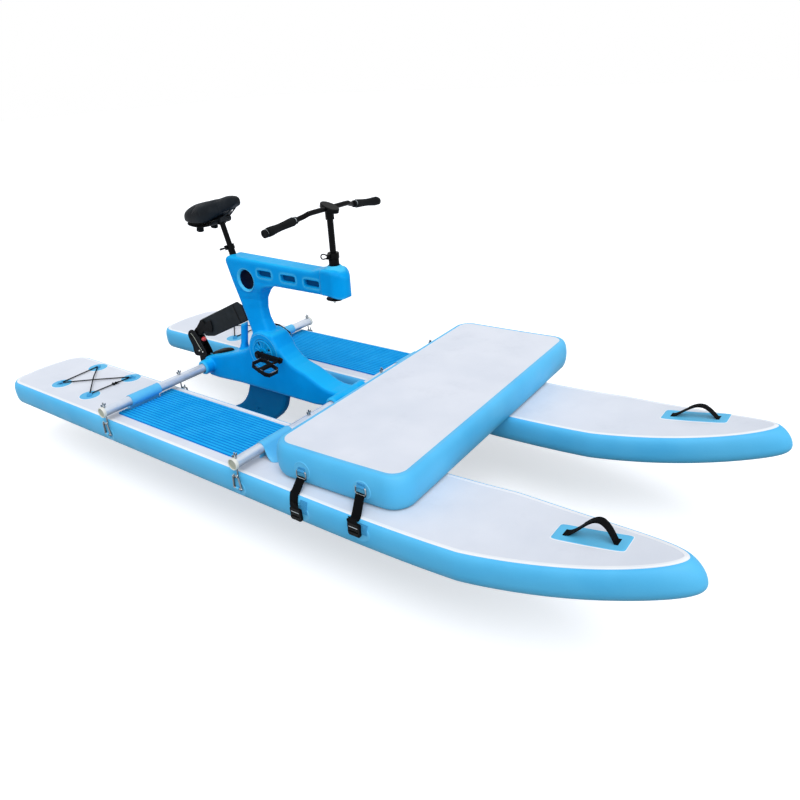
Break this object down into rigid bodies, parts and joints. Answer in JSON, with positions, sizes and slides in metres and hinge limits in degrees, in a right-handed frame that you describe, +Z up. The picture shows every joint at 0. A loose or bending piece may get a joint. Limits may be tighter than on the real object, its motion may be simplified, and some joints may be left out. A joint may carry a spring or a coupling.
{
  "type": "water bike",
  "caption": "Pedal catamaran with two inflated hulls, an inflated bow platform, a moulded blue frame, saddle, handlebar, pedal-driven propeller leg and a folding steered rudder.",
  "frame": {"origin": "on the plane of the hulls' undersides, midway between the two cross tubes and on the centre plane of the moulded frame", "axes": "+X forward to the bow, +Y to port, +Z up"},
  "size_m": [3.7988, 1.7563, 1.3507],
  "materials": {
    "aluminium": "clear anodised, satin",
    "black_metal": "black anodised or powder-coated, satin",
    "black_plastic": "black moulded plastic, matte",
    "black_webbing": "black woven webbing",
    "cap_cream": "off-white moulded plastic, matte",
    "cord_black": "elastic cord in a woven cover, black",
    "dark_steel": "dark plated steel",
    "frame_blue": "rotation-moulded plastic, blue, semi-gloss",
    "knob_red": "red moulded plastic knob",
    "leg_blue": "moulded plastic, blue, semi-gloss",
    "pad_foam": "closed-cell foam deck pad, blue, grooved, matte",
    "rail_blue": "PVC-coated fabric, light blue, satin",
    "rubber": "black rubber, matte",
    "saddle_cover": "black synthetic leather over foam",
    "steel": "bright plated steel wire",
    "white_deck": "PVC-coated drop-stitch fabric, white, satin"
  },
  "bodies": {
    "craft": {"hull_starboard": "white_deck", "hull_port": "white_deck", "deck_pad_starboard": "pad_foam", "deck_pad_port": "pad_foam", "bow_platform": "rail_blue", "cross_tube_front": "aluminium", "cross_tube_rear": "aluminium", "tube_cap_front_starboard": "cap_cream", "tube_sleeve_front_starboard": "rail_blue", "hook_bolt_front_starboard": "steel", "d_ring_front_starboard": "steel", "tube_cap_front_port": "cap_cream", "tube_sleeve_front_port": "rail_blue", "hook_bolt_front_port": "steel", "d_ring_front_port": "steel", "tube_cap_rear_starboard": "cap_cream", "tube_sleeve_rear_starboard": "rail_blue", "hook_bolt_rear_starboard": "steel", "d_ring_rear_starboard": "steel", "tube_cap_rear_port": "cap_cream", "tube_sleeve_rear_port": "rail_blue", "hook_bolt_rear_port": "steel", "d_ring_rear_port": "steel", "platform_strap_starboard_1": "black_webbing", "platform_strap_starboard_2": "black_webbing", "carry_handle_starboard": "black_webbing", "deck_cord_starboard": "cord_black", "gear_cover_starboard": "frame_blue", "platform_strap_port_1": "black_webbing", "platform_strap_port_2": "black_webbing", "carry_handle_port": "black_webbing", "deck_cord_port": "cord_black", "gear_cover_port": "frame_blue", "main_frame": "frame_blue", "rear_hatch_cover": "black_plastic", "drive_leg": "leg_blue", "seat_clamp": "black_metal", "rudder_bracket": "frame_blue"},
    "crank": {"crank_axle": "dark_steel", "crank_bevel_gear": "dark_steel", "crank_arm_starboard": "black_metal", "crank_arm_port": "black_metal"},
    "pedal_right": {"pedal_starboard": "black_plastic"},
    "pedal_left": {"pedal_port": "black_plastic"},
    "vertical_shaft": {"drive_shaft": "dark_steel"},
    "screw": {"propeller_shaft": "dark_steel", "propeller": "black_plastic"},
    "post": {"seat_post": "black_metal"},
    "seat": {"saddle_clamp": "dark_steel", "saddle": "saddle_cover"},
    "seat_lever": {"seat_clamp_lever": "dark_steel"},
    "steering": {"steerer_tube": "black_metal"},
    "bar_lever": {"bar_clamp_lever": "dark_steel"},
    "bar": {"bar_post": "black_metal", "handlebar": "black_metal", "grip_starboard": "rubber", "grip_port": "rubber"},
    "rudder_fork": {"rudder_yoke": "black_plastic"},
    "rudder": {"rudder_blade": "black_plastic"},
    "rudder_lock": {"rudder_lock_knob": "knob_red"}
  },
  "joints": [
    {"name": "crank_spin", "type": "hinge", "parent": "craft", "child": "crank", "pos_m": [-0.02, 0, 0.331], "axis": [0, 1, 0], "continuous": true},
    {"name": "pedal_spin_starboard", "type": "hinge", "parent": "crank", "child": "pedal_right", "pos_m": [0.13, -0.2, 0.331], "axis": [0, 1, 0], "continuous": true},
    {"name": "pedal_spin_port", "type": "hinge", "parent": "crank", "child": "pedal_left", "pos_m": [-0.17, 0.2, 0.331], "axis": [0, 1, 0], "continuous": true},
    {"name": "drive_shaft_spin", "type": "hinge", "parent": "craft", "child": "vertical_shaft", "pos_m": [-0.02, 0, 0.331], "axis": [0.359, 0, 0.9333], "continuous": true},
    {"name": "propeller_spin", "type": "hinge", "parent": "craft", "child": "screw", "pos_m": [-0.4935, 0, -0.15], "axis": [1, 0, 0], "continuous": true},
    {"name": "steering_turn", "type": "hinge", "parent": "craft", "child": "steering", "pos_m": [0.463, 0, 0.8], "axis": [0, 0, 1], "range_deg": [-30, 30]},
    {"name": "rudder_turn", "type": "hinge", "parent": "craft", "child": "rudder_fork", "pos_m": [-0.6, 0, 0.168], "axis": [0, 0, 1], "range_deg": [-30, 30]},
    {"name": "rudder_lift", "type": "hinge", "parent": "rudder_fork", "child": "rudder", "pos_m": [-0.662, 0, 0.292], "axis": [0, -1, 0], "range_deg": [0, 235]},
    {"name": "rudder_lock_pull", "type": "slide", "parent": "rudder_fork", "child": "rudder_lock", "axis": [0.4045, 0, 0.9145], "range_m": [0, 0.008], "stiffness_N_per_m": 600, "springref_m": -0.006},
    {"name": "seat_height", "type": "slide", "parent": "craft", "child": "post", "axis": [-0.2756, 0, 0.9613], "range_m": [-0.05, 0.06]},
    {"name": "saddle_tilt", "type": "hinge", "parent": "post", "child": "seat", "pos_m": [-0.25786, 0, 0.96341], "axis": [0, 1, 0], "range_deg": [-10, 10]},
    {"name": "seat_clamp_lever_open", "type": "hinge", "parent": "craft", "child": "seat_lever", "pos_m": [-0.22313, -0.0305, 0.8423], "axis": [-0.2756, 0, 0.9613], "range_deg": [0, 120]},
    {"name": "bar_height", "type": "slide", "parent": "steering", "child": "bar", "axis": [0, 0, 1], "range_m": [-0.08, 0.05]},
    {"name": "bar_clamp_lever_open", "type": "hinge", "parent": "steering", "child": "bar_lever", "pos_m": [0.463, -0.0325, 0.8715], "axis": [0, 0, 1], "range_deg": [0, 120]}
  ],
  "couplings": [
    {"joint": "drive_shaft_spin", "follows": "crank_spin", "ratio": 3.5484},
    {"joint": "propeller_spin", "follows": "crank_spin", "ratio": -7.0968},
    {"joint": "rudder_turn", "follows": "steering_turn", "ratio": -1}
  ]
}
